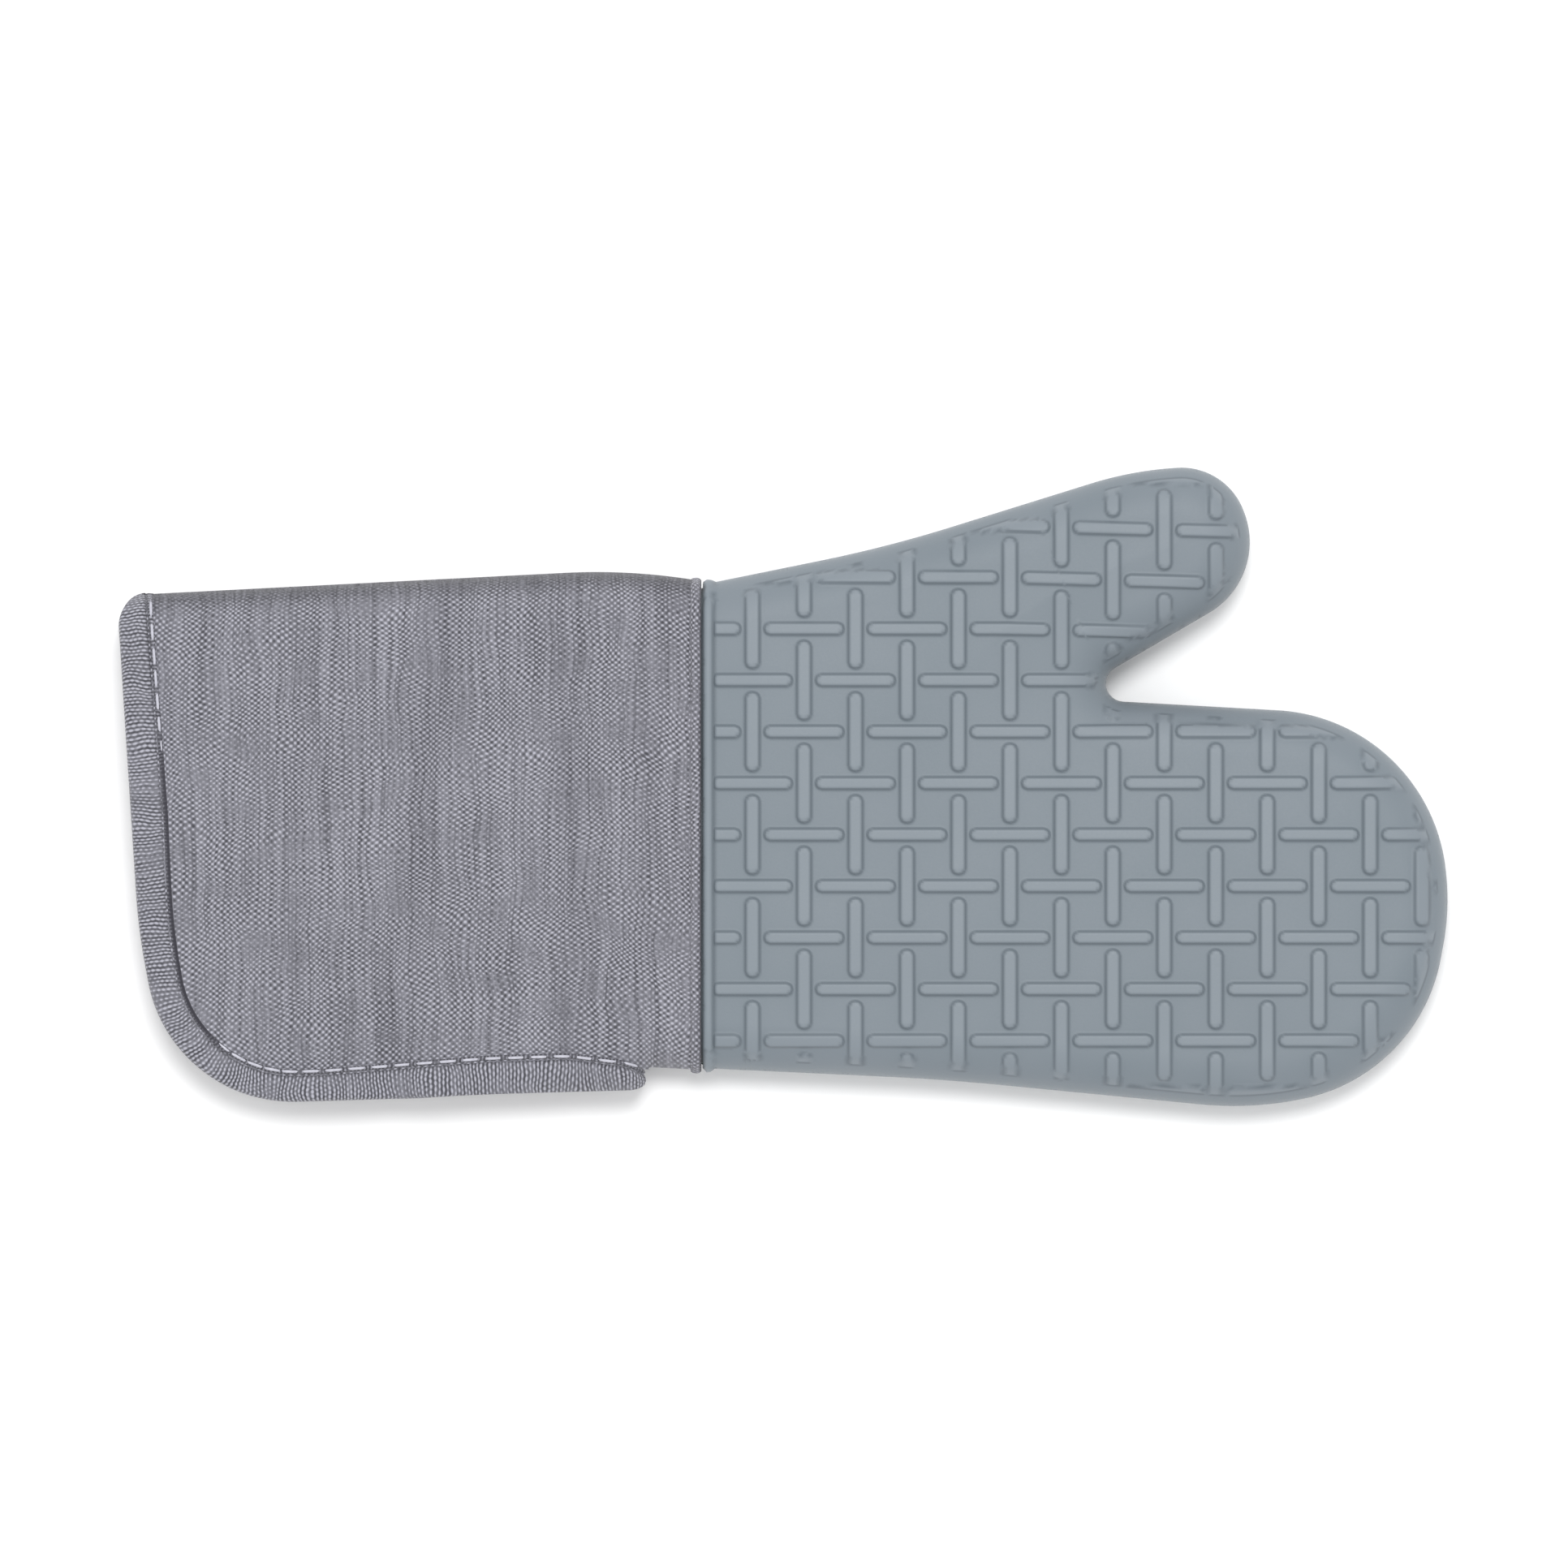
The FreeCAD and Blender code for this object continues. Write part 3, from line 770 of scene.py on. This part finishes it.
def sweep(name, rings, attributes=None, closed=False):
    """A tube through rings of points, each ring closed."""
    rings = np.asarray(rings)
    index = np.arange(rings[..., 0].size).reshape(rings.shape[:2])
    return make_mesh(name, rings.reshape(-1, 3), tube_faces(index, closed), attributes)


def soften(values, passes):
    """Averages each row with its neighbours, keeping the two ends."""
    for _ in range(passes):
        values[1:-1] = (values[:-2] + 2 * values[1:-1] + values[2:]) / 4
    return values


def dash_rings(centre, forward, side, up, length, width, height):
    """Rings of one stitch: a flattened thread that dives in at both ends."""
    dive = 0.45
    angles = np.arange(8) * math.pi / 4
    across = np.cos(angles)[:, None] * side * width / 2 + np.sin(angles)[:, None] * up * height / 2
    rings = []
    for t in np.linspace(-1, 1, 7):
        middle = centre + forward * (length / 2 * t) - up * (dive * t**4)
        rings.append(middle + math.sqrt(max(1 - t**4, 0.02)) * across)
    return rings


def joined_stitches(name, stitches):
    """Many stitches as one mesh."""
    points = np.array(stitches)
    numbers = np.arange(points[..., 0].size).reshape(points.shape[:3])
    faces = [face for index in numbers for face in tube_faces(index)]
    return make_mesh(name, points.reshape(-1, 3), faces)


def build_topstitch(grid, normals, inward, widths, shares, run):
    """The row of stitches along the tape's folded edge, on the outer side of both leaves."""
    pitch = 6.1
    length, width, height = 5.2, 0.75, 0.5
    first, last = 4.5, run[-1] - 4.0
    column = int(np.argmin(np.abs(shares - (1 - TAPE_RIDGE / widths.mean()))))
    up, side = normals[:, column], inward[:, column]
    lift = np.interp(seam_ridge(run, run[-1]), [0.0, 0.25, 0.6, 1.0], [-0.6, 0.1, 0.65, 0.8])
    line = soften(grid[:, column] + lift[:, None] * up, 2)
    stitches = []
    for middle in np.arange(first, last, pitch):
        k = int(np.searchsorted(run, middle))
        ahead = line[min(k + 3, len(line) - 1)] - line[k - 3]
        forward = ahead / np.linalg.norm(ahead)
        stitches.append(dash_rings(line[k], forward, side[k], up[k], length, width, height))
    thread = joined_stitches("edge_topstitch_thread", stitches)
    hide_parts("edge_topstitch")
    return thread


def seam_loop(x_position, points, faces, place):
    """The cuff's section just short of the seam, as an even closed loop with outward directions."""
    loop = points[open_loop(faces, place[:, 0] > CUFF_END - TOUCHING)].copy()
    loop[:, 0] = x_position
    closed = np.concatenate([loop, loop[:1]])
    run = run_along(closed)
    even = np.linspace(0, run[-1], int(run[-1]), endpoint=False)
    loop = np.stack([np.interp(even, run, closed[:, k]) for k in range(3)], axis=1)
    tangent = np.roll(loop, -1, axis=0) - np.roll(loop, 1, axis=0)
    out = unit(np.cross(tangent, [1.0, 0, 0]))
    if np.sum(out * (loop - loop.mean(axis=0))) < 0:
        out = -out
    return loop, out, even


def build_seam_roll(points, faces, place):
    """The fabric turned in along the seam, as a rolled rim round the wrist."""
    around = 14
    low, high = (corner[0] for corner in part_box("seam_roll"))
    half = (high - low) / 2 / MM
    loop, out, run = seam_loop((low + high) / 2 / MM, points, faces, place)
    angles = np.arange(around) * 2 * math.pi / around
    along = np.cos(angles)[:, None] * np.array([half, 0, 0])
    proud = (0.15 + 0.85 * np.sin(angles))[:, None]
    rings = [centre + along + proud * outward for centre, outward in zip(loop, out)]
    weave = np.dstack(np.broadcast_arrays(angles * half, run[:, None], 0.0)).reshape(-1, 3)
    # Painted shade on the roll's side towards the silicone bead, where it meets the hand.
    crease = np.tile(1.1 * blur_step(np.cos(angles), 0.45, 0.95), len(loop))
    roll = sweep("wrist_seam_roll", rings, {"weave": weave, "crease": crease}, closed=True)
    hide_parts("seam_roll")
    return roll


def inner_surface(inset):
    """The hand's surface at a depth under the silicone, quilted: points, faces and the plan place of each."""
    step = 2.4
    quilt_pitch = 28  # along X, from one line of quilting to the next that is parallel to it
    edge = beyond(outline(HAND, step, inset), CUFF_END, 1)
    grid = plan_grid(np.arange(CUFF_END + 2, GRID_END[0], 2.6), np.arange(-GRID_END[1], GRID_END[1], 2.6))
    grid = well_inside(grid, edge, step)
    rings = [beyond(outline(HAND, step, inset + depth), CUFF_END, 1)[1:-1] for depth in (0.3, 1.2)]
    plan, faces, depth = hand_plan(edge, CUFF_END, np.concatenate(rings + [grid]), step, 0.8)
    rise = rim_profile(depth) * (HALF_DEPTH - inset - CROWN)
    diagonals = math.pi / quilt_pitch * np.stack([plan[:, 0] + plan[:, 1], plan[:, 0] - plan[:, 1]])
    quilting = 0.7 * (1 - np.sqrt(np.abs(np.sin(diagonals))).mean(axis=0))
    lift = rise - quilting * smooth(depth / 10)
    points, faces, origin = two_skins(plan, faces, MIDDLE + lift, MIDDLE - lift, depth == 0)
    return points, faces, plan[origin]


def split_at_thumb(points, faces, place, attributes):
    """The two sides of the thumb's root line, as name, points, faces and attributes of each."""
    centres = place[faces].mean(axis=1) - THUMB_ROOT
    in_thumb = (centres @ THUMB_OUT > 0) & (centres @ -THUMB_AXIS > 0)
    for section, keep in (("hand", ~in_thumb), ("thumb", in_thumb)):
        yield section, *part_of(points, faces, keep, attributes)


def node_names(section, layer):
    return [f"palm_{layer}", f"finger_{layer}"] if section == "hand" else [f"thumb_{layer}"]


def build_inner_hand():
    """The quilted lining of the hand, and the wadding between it and the silicone."""
    linings = []
    pads = []
    points, faces, place = inner_surface(HAND_LINING_TOP)
    weave = np.column_stack([place, np.zeros(len(place))])
    for section, *shape in split_at_thumb(points, faces, place, {"weave": weave}):
        piece = make_mesh(f"{section}_lining_cloth", *shape)
        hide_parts(*node_names(section, "lining"))
        linings.append(piece)
    points, faces, place = inner_surface(HAND_WADDING_TOP)
    normals = vertex_normals(points, faces)
    for section, kept, kept_faces, values in split_at_thumb(points, faces, place, {"normals": normals}):
        piece = make_pad(f"{section}_wadding_pad", kept, kept_faces, values["normals"], 0.0, HAND_WADDING)
        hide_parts(*node_names(section, "batting"))
        pads.append(piece)
    return linings, pads


def add_node(tree, kind, inputs=None, **settings):
    """A shader node; an input is a value, or a socket to link from."""
    node = tree.nodes.new("ShaderNode" + kind)
    for key, value in settings.items():
        setattr(node, key, value)
    for key, value in (inputs or {}).items():
        if isinstance(value, bpy.types.NodeSocket):
            tree.links.new(value, node.inputs[key])
        else:
            node.inputs[key].default_value = value
    return node


def linear(*screen):
    """A screen colour, each part from 11 to 255, as the linear colour that a shader takes."""
    return *(((c / 255 + 0.055) / 1.055) ** 2.4 for c in screen), 1.0


def new_material(name, values):
    """A material and the Principled shader in it, with values set: the material, its tree and the shader."""
    material = bpy.data.materials.new(name)
    material.use_nodes = True
    tree = material.node_tree
    shader = next(node for node in tree.nodes if node.type == "BSDF_PRINCIPLED")
    for key, value in values.items():
        shader.inputs[key].default_value = value
    return material, tree, shader


def math_node(tree, operation, *values):
    return add_node(tree, "Math", dict(enumerate(values)), operation=operation).outputs[0]


def mix_colours(tree, factor, first, second):
    inputs = {0: factor, 6: first, 7: second}
    return add_node(tree, "Mix", inputs, data_type="RGBA", clamp_factor=True).outputs[2]


def multiply(tree, first, second):
    return math_node(tree, "MULTIPLY", first, second)


def multiply_add(tree, value, factor, offset):
    return math_node(tree, "MULTIPLY_ADD", value, factor, offset)


def map_range(tree, value, start, end):
    """Takes one range of values to another."""
    limits = zip(("From Min", "From Max", "To Min", "To Max"), (*start, *end))
    return add_node(tree, "MapRange", {"Value": value, **dict(limits)}).outputs["Result"]


def attribute(tree, name, output="Fac"):
    return add_node(tree, "Attribute", attribute_name=name).outputs[output]


def noise_node(tree, place, scale, detail=2.0, output="Fac"):
    return add_node(tree, "TexNoise", {"Vector": place, "Scale": scale, "Detail": detail}).outputs[output]


def add_bump(tree, shader, height, strength, depth):
    """Small relief in the shading only; its depth is in metres."""
    bump = add_node(tree, "Bump", {"Height": height, "Strength": strength, "Distance": depth})
    tree.links.new(bump.outputs["Normal"], shader.inputs["Normal"])


def silicone_material():
    """Matte moulded silicone: blue-grey, with painted shade in the creases beside the ribs and a painted
    highlight on their tops, finely pebbled.
    """
    values = {"Specular IOR Level": 0.4, "Sheen Weight": 0.12, "Sheen Roughness": 0.5}
    material, tree, shader = new_material("silicone", values)
    place = attribute(tree, "place", "Vector")
    flank = attribute(tree, "flank")
    ridge = attribute(tree, "ridge")
    cloud = noise_node(tree, place, 0.035, 3.0)
    base = mix_colours(tree, cloud, linear(102, 112, 119), linear(112, 120, 127))
    # Painted highlight: the rib tops mixed towards a lighter blue-grey.
    with_painted_highlight = mix_colours(tree, multiply(tree, ridge, 0.45), base, linear(122, 130, 137))
    # Painted shade: the ribs' sides and the bead's feet mixed towards a dark blue-grey.
    with_painted_shade = mix_colours(tree, multiply(tree, flank, 0.6), with_painted_highlight, linear(66, 76, 84))
    tree.links.new(with_painted_shade, shader.inputs["Base Color"])
    grain = noise_node(tree, place, 1.6)
    rough = map_range(tree, grain, (0.0, 1.0), (0.5, 0.62))
    tree.links.new(rough, shader.inputs["Roughness"])
    add_bump(tree, shader, grain, 0.25, 0.00012)
    return material


def woven_height(tree, place, pitch):
    """The over and under of a plain weave, from -1 to 1, and its warp wave alone."""
    split = add_node(tree, "SeparateXYZ", {"Vector": place})
    waves = []
    for axis, step in zip("XY", pitch):
        phase = multiply(tree, split.outputs[axis], math.pi / step)
        waves.append(math_node(tree, "SINE", phase))
    return multiply(tree, *waves), waves[0]


def vector_node(tree, operation, first, second):
    return add_node(tree, "VectorMath", {0: first, 1: second}, operation=operation).outputs[0]


def stretched_noise(tree, place, stretch, detail=1.0):
    return noise_node(tree, vector_node(tree, "MULTIPLY", place, stretch), 1.0, detail)


def uneven_yarn(tree, place):
    """Slubs along both thread directions, small flecks and cloudiness, around zero."""
    kinds = [((1.1, 0.02, 0), 1.3), ((0.02, 1.3, 0), 0.35), ((0.9, 0.9, 0), 1.0), ((0.04, 0.04, 0), 0.25)]
    total = None
    for stretch, share in kinds:
        noise = multiply_add(tree, stretched_noise(tree, place, stretch), share, -share / 2)
        total = noise if total is None else math_node(tree, "ADD", total, noise)
    return total


def woven_material(name, dark, light, pitch=THREAD_PITCH, contrast=1.0, tape=False):
    """Plain-woven cloth: light threads over dark ones at every other crossing, with uneven yarn, and painted
    shade by the fold and in creases.
    """
    values = {"Specular IOR Level": 0.25, "Sheen Weight": 0.15, "Sheen Roughness": 0.6}
    material, tree, shader = new_material(name, values)
    place = attribute(tree, "weave", "Vector")
    drift = noise_node(tree, place, 0.06, output="Color")
    drift = vector_node(tree, "SUBTRACT", drift, (0.5, 0.5, 0.5))
    bent = vector_node(tree, "ADD", place, vector_node(tree, "MULTIPLY", drift, (5.0, 5.0, 0.0)))
    over, warp = woven_height(tree, bent, pitch)
    if tape:
        rows = multiply_add(tree, multiply(tree, warp, warp), 1.3, -0.65)
        over = multiply_add(tree, over, 0.4, rows)
    uneven = uneven_yarn(tree, bent)
    clear = stretched_noise(tree, place, (0.11, 0.11, 0.0), 2.0)
    clear = map_range(tree, clear, (0.34, 0.6), (0.25, 1.0))
    strength = multiply(tree, clear, 1.1 * contrast)
    # Painted shade along the fold, where the cloth rolls over; the weave there is also plainer.
    turned = attribute(tree, "turned")
    strength = multiply(tree, strength, multiply_add(tree, turned, -0.85, 1.0))
    peaks = multiply(tree, math_node(tree, "MAXIMUM", over, 0.0), over)
    factor = multiply_add(tree, over, 0.28, multiply(tree, peaks, 0.9))
    factor = multiply_add(tree, factor, strength, 0.33)
    factor = multiply_add(tree, uneven, 0.45, factor)
    factor = multiply_add(tree, turned, -0.26, factor)
    colour = mix_colours(tree, factor, dark, light)
    # Painted shade: darker in the cloth's folds, the tape's seam groove and edge, and beside the wrist roll.
    painted_shade_amount = multiply(tree, attribute(tree, "crease"), 0.85)
    colour = mix_colours(tree, painted_shade_amount, colour, linear(46, 45, 53))
    tree.links.new(colour, shader.inputs["Base Color"])
    height = multiply_add(tree, uneven, 0.5, math_node(tree, "ABSOLUTE", over))
    add_bump(tree, shader, height, 0.5, 0.0002)
    rough = map_range(tree, over, (-1.0, 1.0), (0.95, 0.8))
    tree.links.new(rough, shader.inputs["Roughness"])
    return material


def fibre_material(name, roughness, scale, detail, dark, light, strength, depth):
    """Fine uneven fibre in two close colours, with relief."""
    material, tree, shader = new_material(name, {"Roughness": roughness})
    place = add_node(tree, "TexCoord").outputs["Object"]
    noise = noise_node(tree, place, scale, detail)
    tree.links.new(mix_colours(tree, noise, dark, light), shader.inputs["Base Color"])
    add_bump(tree, shader, noise, strength, depth)
    return material


def floor_material():
    material, tree, shader = new_material("floor", {"Roughness": 0.9, "Specular IOR Level": 0.0})
    noise = noise_node(tree, add_node(tree, "TexCoord").outputs["Object"], 3.0)
    colour = mix_colours(tree, noise, (0.93, 0.93, 0.93, 1), (0.95, 0.95, 0.95, 1))
    tree.links.new(colour, shader.inputs["Base Color"])
    return material


def set_camera():
    """Straight down and square on, so that the mitt fills the frame as in the reference view."""
    camera_data = bpy.data.cameras.new("camera")
    camera_data.type = "ORTHO"
    camera_data.ortho_scale = 0.4192
    camera = add_object("camera", camera_data)
    camera.location = (0.0, 0.00076, 1.4)
    bpy.context.scene.camera = camera


def set_light():
    """Even light from all round, with a soft sun from the thumb side for the shadow below the mitt."""
    world = bpy.data.worlds.new("studio")
    world.use_nodes = True
    background = world.node_tree.nodes["Background"]
    background.inputs["Color"].default_value = (1, 1, 1, 1)
    background.inputs["Strength"].default_value = 1.0
    bpy.context.scene.world = world
    sun_data = bpy.data.lights.new("key", "SUN")
    sun_data.energy = 1.8
    sun_data.angle = math.radians(20)
    sun = add_object("key", sun_data)
    towards = Vector((0.02, 0.30, 1.0))
    sun.rotation_euler = towards.to_track_quat("Z", "Y").to_euler()
    bpy.context.scene.view_settings.view_transform = "Standard"


def set_floor():
    half = 3000
    corners = [(-half, -half, 0), (half, -half, 0), (half, half, 0), (-half, half, 0)]
    floor = make_mesh("floor", corners, [(0, 1, 2, 3)])
    floor.location.z = -0.0002  # just under the mitt
    floor.data.materials.append(floor_material())


def bend_with_joints(hand_pieces, thumb_pieces, cuff_pieces):
    """Bakes every piece's placement into its mesh."""
    for piece in hand_pieces:
        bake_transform(piece)
    for piece in thumb_pieces:
        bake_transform(piece)
    for piece in cuff_pieces:
        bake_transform(piece)


def flat_area(corners, x_limit, side, inset=0.0):
    """Plan area inside an outline on one side of an X limit, in square metres."""
    edge = beyond(outline(corners, 2.0, inset), x_limit, side) * MM
    onward = np.roll(edge, -1, axis=0)
    return abs(np.sum(edge[:, 0] * onward[:, 1] - edge[:, 1] * onward[:, 0])) / 2


def declare_soft_pieces():
    """The flat areas that the cuff's cloth and the hand's lining were cut to, worked out here and not used."""
    cuff_length = (CUFF_END - MOUTH_CORNER[0]) * MM
    rolled = rim_length(RIM_RUN) - RIM_RUN
    cuff_area = 2 * flat_area(CUFF, CUFF_END, -1) + 2 * rolled * MM * cuff_length
    thumb_length, thumb_width = 0.055, 0.090
    thumb_area = 0.8 * thumb_length * thumb_width
    hand_area = 2 * flat_area(HAND, CUFF_END, 1, HAND_LINING_TOP) - thumb_area


def main():
    set_camera()
    set_light()
    set_floor()
    silicone = silicone_material()
    cloth_look = woven_material("cuff_cloth", linear(62, 62, 68), linear(162, 162, 172))
    tape_colours = linear(60, 60, 66), linear(160, 160, 170)
    tape_look = woven_material("binding", *tape_colours, (1.0, 0.84), 1.6, tape=True)
    lining_look = woven_material("lining", linear(120, 122, 130), linear(176, 178, 186), (0.6, 0.6), 0.5)
    wadding_colours = linear(205, 205, 200), linear(240, 240, 236)
    wadding_look = fibre_material("wadding", 1.0, 350.0, 5.0, *wadding_colours, 0.8, 0.0008)
    thread_colours = linear(150, 150, 161), linear(194, 194, 203)
    thread_look = fibre_material("thread", 0.7, 900.0, 2.0, *thread_colours, 0.5, 0.0001)

    hand, thumb = build_hand()
    cloth, lining, cuff_pad, surface = build_cuff()
    shares = np.linspace(0, 1, 41) ** 0.9
    grid, across, widths, run = tape_grid(shares)
    normals, inward = grid_normals(grid)
    binding = build_binding(grid, normals, inward, across, widths, run)
    stitches = build_topstitch(grid, normals, inward, widths, shares, run)
    roll = build_seam_roll(*surface)
    hand_linings, hand_pads = build_inner_hand()

    for piece, look, slot in (
        (hand, silicone, "silicone"),
        (thumb, silicone, "silicone"),
        (cloth, cloth_look, "cuff_cloth"),
        (lining, lining_look, "lining"),
        (cuff_pad, wadding_look, "wadding"),
        (binding, tape_look, "binding"),
        (stitches, thread_look, "thread"),
        (roll, cloth_look, "binding"),
        *((piece, lining_look, "lining") for piece in hand_linings),
        *((piece, wadding_look, "wadding") for piece in hand_pads),
    ):
        piece.data.materials.append(look)
    declare_soft_pieces()
    bend_with_joints(
        [hand, hand_linings[0], hand_pads[0]],
        [thumb, hand_linings[1], hand_pads[1]],
        [cloth, lining, cuff_pad, binding, stitches, roll],
    )


main()
